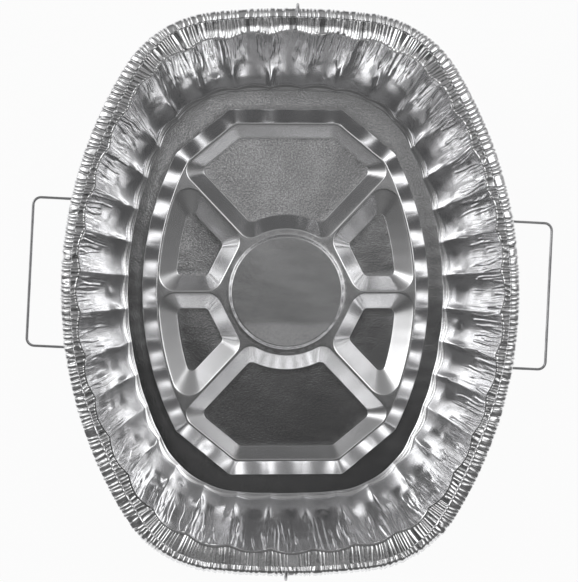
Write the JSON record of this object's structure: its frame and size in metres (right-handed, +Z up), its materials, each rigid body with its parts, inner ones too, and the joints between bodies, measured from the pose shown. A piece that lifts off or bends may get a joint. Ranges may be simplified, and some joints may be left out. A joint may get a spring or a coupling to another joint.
{
  "type": "foil roasting pan",
  "caption": "Oval pressed foil roasting pan with a fluted wall, rolled rim and ribbed floor, in a bent wire cradle with a grip each side.",
  "frame": {"origin": "on the surface that the cradle stands on, under the middle of the pan", "axes": "+Z up, +Y along the length of the pan, +X across it towards one grip"},
  "size_m": [0.4268, 0.4654, 0.0925],
  "materials": {
    "foil": "bright rolled foil",
    "wire": "bright drawn wire"
  },
  "bodies": {
    "root": {"foil_pan": "foil", "handle_wire": "wire", "hook_wire": "wire"}
  },
  "joints": []
}
